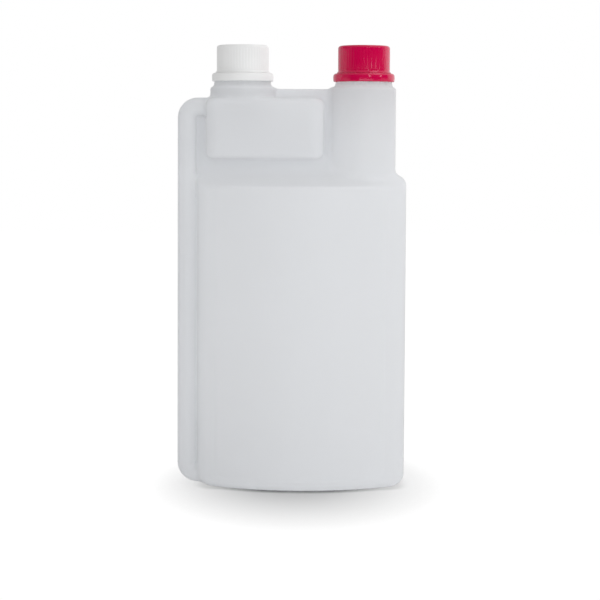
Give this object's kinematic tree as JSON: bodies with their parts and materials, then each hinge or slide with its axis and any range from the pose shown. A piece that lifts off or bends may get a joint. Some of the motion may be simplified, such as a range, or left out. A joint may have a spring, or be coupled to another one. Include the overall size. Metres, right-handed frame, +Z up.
{
  "type": "dosing bottle",
  "caption": "Translucent squeeze bottle with a side riser tube that fills a dosing chamber under one neck, and a screw cap on each neck.",
  "frame": {"origin": "centre of the bounding box, on the surface the bottle stands on", "axes": "+Z up along the necks; +X across the bottle's width, from the riser tube to the main neck; +Y to the back, across its depth"},
  "size_m": [0.12, 0.068, 0.2316],
  "materials": {
    "bottle_hdpe": "natural translucent HDPE, satin",
    "white_cap": "white polypropylene, semi-gloss",
    "crimson_cap": "crimson polypropylene, semi-gloss",
    "liner_foam": "white foamed polyethylene"
  },
  "bodies": {
    "bottle": {"bottle": "bottle_hdpe", "dosing_tamper_ring": "white_cap", "main_tamper_ring": "crimson_cap"},
    "dosing_cap_liner": {"dosing_cap_liner": "liner_foam"},
    "dosing_cap": {"dosing_cap": "white_cap"},
    "main_cap_liner": {"main_cap_liner": "liner_foam"},
    "main_cap": {"main_cap": "crimson_cap"}
  },
  "joints": [
    {"name": "dosing_cap_lift", "type": "slide", "parent": "bottle", "child": "dosing_cap_liner", "axis": [0, 0, 1], "range_m": [0, 0.0056]},
    {"name": "dosing_cap_turn", "type": "hinge", "parent": "dosing_cap_liner", "child": "dosing_cap", "pos_m": [-0.0261, 0, 0.22], "axis": [0, 0, 1], "range_deg": [0, 630]},
    {"name": "main_cap_lift", "type": "slide", "parent": "bottle", "child": "main_cap_liner", "axis": [0, 0, 1], "range_m": [0, 0.0056]},
    {"name": "main_cap_turn", "type": "hinge", "parent": "main_cap_liner", "child": "main_cap", "pos_m": [0.0376, 0, 0.22], "axis": [0, 0, 1], "range_deg": [0, 630]}
  ],
  "couplings": [
    {"joint": "dosing_cap_lift", "follows": "dosing_cap_turn", "m_per_rad": 0.00050929},
    {"joint": "main_cap_lift", "follows": "main_cap_turn", "m_per_rad": 0.00050929}
  ]
}
